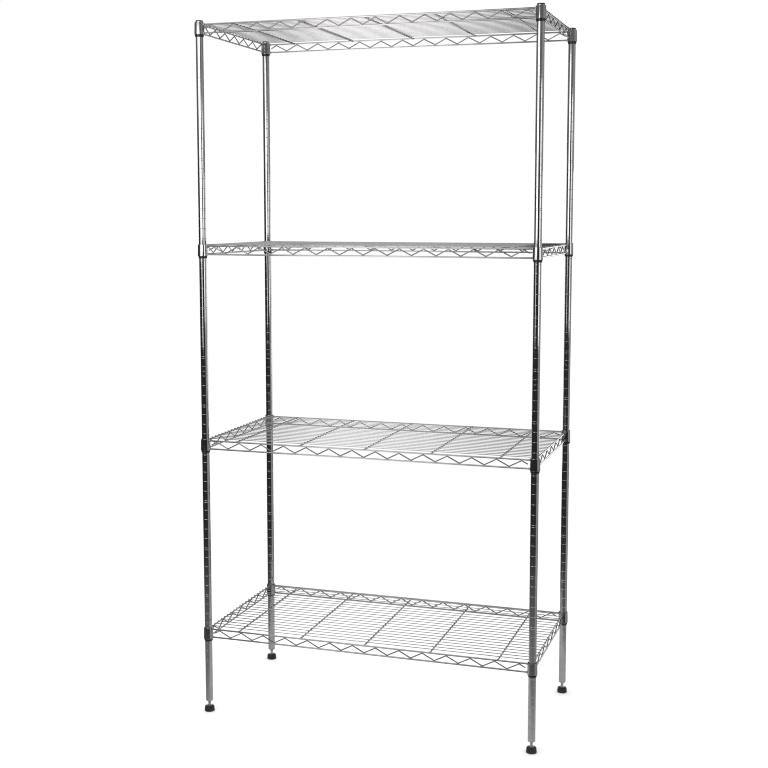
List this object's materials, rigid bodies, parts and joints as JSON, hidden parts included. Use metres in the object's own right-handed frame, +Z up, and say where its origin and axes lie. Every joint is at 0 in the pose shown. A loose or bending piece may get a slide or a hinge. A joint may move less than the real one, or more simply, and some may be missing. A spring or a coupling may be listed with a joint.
{
  "type": "wire shelving unit",
  "caption": "Free-standing chrome wire shelving unit: round posts on screw-in levelling feet carry lift-off wire shelves, whose tapered collars wedge on split sleeves.",
  "frame": {"origin": "on the floor, midway between the four posts", "axes": "+Z up along the posts, +X along the shelves, +Y from the front to the back"},
  "size_m": [0.9014, 0.4514, 1.81],
  "materials": {
    "post_chrome": "bright chrome plate on rolled steel tube",
    "wire_chrome": "chrome plate on drawn steel wire",
    "collar_chrome": "chrome plate on pressed steel",
    "stud_steel": "zinc-plated steel thread",
    "sleeve_plastic": "moulded black plastic",
    "cap_plastic": "moulded dark plastic",
    "pad_rubber": "moulded black rubber"
  },
  "bodies": {
    "frame": {"post_lower_fl": "post_chrome", "post_lower_fr": "post_chrome", "post_lower_bl": "post_chrome", "post_lower_br": "post_chrome", "post_upper_fl": "post_chrome", "post_upper_fr": "post_chrome", "post_upper_bl": "post_chrome", "post_upper_br": "post_chrome", "post_joiner_fl": "stud_steel", "post_joiner_fr": "stud_steel", "post_joiner_bl": "stud_steel", "post_joiner_br": "stud_steel", "post_cap_fl": "cap_plastic", "post_cap_fr": "cap_plastic", "post_cap_bl": "cap_plastic", "post_cap_br": "cap_plastic", "foot_insert_fl": "stud_steel", "foot_insert_fr": "stud_steel", "foot_insert_bl": "stud_steel", "foot_insert_br": "stud_steel", "shelf_1_sleeves": "sleeve_plastic", "shelf_2_sleeves": "sleeve_plastic", "shelf_3_sleeves": "sleeve_plastic", "shelf_4_sleeves": "sleeve_plastic"},
    "shelf_1": {"shelf_1_collars": "collar_chrome", "shelf_1_rim_wires": "wire_chrome", "shelf_1_truss_wires": "wire_chrome", "shelf_1_cross_wires": "wire_chrome", "shelf_1_deck_wires": "wire_chrome"},
    "shelf_2": {"shelf_2_collars": "collar_chrome", "shelf_2_rim_wires": "wire_chrome", "shelf_2_truss_wires": "wire_chrome", "shelf_2_cross_wires": "wire_chrome", "shelf_2_deck_wires": "wire_chrome"},
    "shelf_3": {"shelf_3_collars": "collar_chrome", "shelf_3_rim_wires": "wire_chrome", "shelf_3_truss_wires": "wire_chrome", "shelf_3_cross_wires": "wire_chrome", "shelf_3_deck_wires": "wire_chrome"},
    "shelf_4": {"shelf_4_collars": "collar_chrome", "shelf_4_rim_wires": "wire_chrome", "shelf_4_truss_wires": "wire_chrome", "shelf_4_cross_wires": "wire_chrome", "shelf_4_deck_wires": "wire_chrome"},
    "foot_fl": {"foot_stem_fl": "stud_steel", "foot_pad_fl": "pad_rubber"},
    "foot_fr": {"foot_stem_fr": "stud_steel", "foot_pad_fr": "pad_rubber"},
    "foot_bl": {"foot_stem_bl": "stud_steel", "foot_pad_bl": "pad_rubber"},
    "foot_br": {"foot_stem_br": "stud_steel", "foot_pad_br": "pad_rubber"}
  },
  "joints": [
    {"name": "shelf_1_lift", "type": "slide", "parent": "frame", "child": "shelf_1", "axis": [0, 0, 1], "range_m": [0, 0.4715]},
    {"name": "shelf_2_lift", "type": "slide", "parent": "frame", "child": "shelf_2", "axis": [0, 0, 1], "range_m": [0, 0.4715]},
    {"name": "shelf_3_lift", "type": "slide", "parent": "frame", "child": "shelf_3", "axis": [0, 0, 1], "range_m": [0, 0.5223]},
    {"name": "shelf_4_lift", "type": "slide", "parent": "frame", "child": "shelf_4", "axis": [0, 0, 1], "range_m": [0, 0.0357]},
    {"name": "foot_fl_screw", "type": "slide", "parent": "frame", "child": "foot_fl", "axis": [0, 0, 1], "range_m": [-0.012, 0.0137]},
    {"name": "foot_fr_screw", "type": "slide", "parent": "frame", "child": "foot_fr", "axis": [0, 0, 1], "range_m": [-0.012, 0.0137]},
    {"name": "foot_bl_screw", "type": "slide", "parent": "frame", "child": "foot_bl", "axis": [0, 0, 1], "range_m": [-0.012, 0.0137]},
    {"name": "foot_br_screw", "type": "slide", "parent": "frame", "child": "foot_br", "axis": [0, 0, 1], "range_m": [-0.012, 0.0137]}
  ]
}
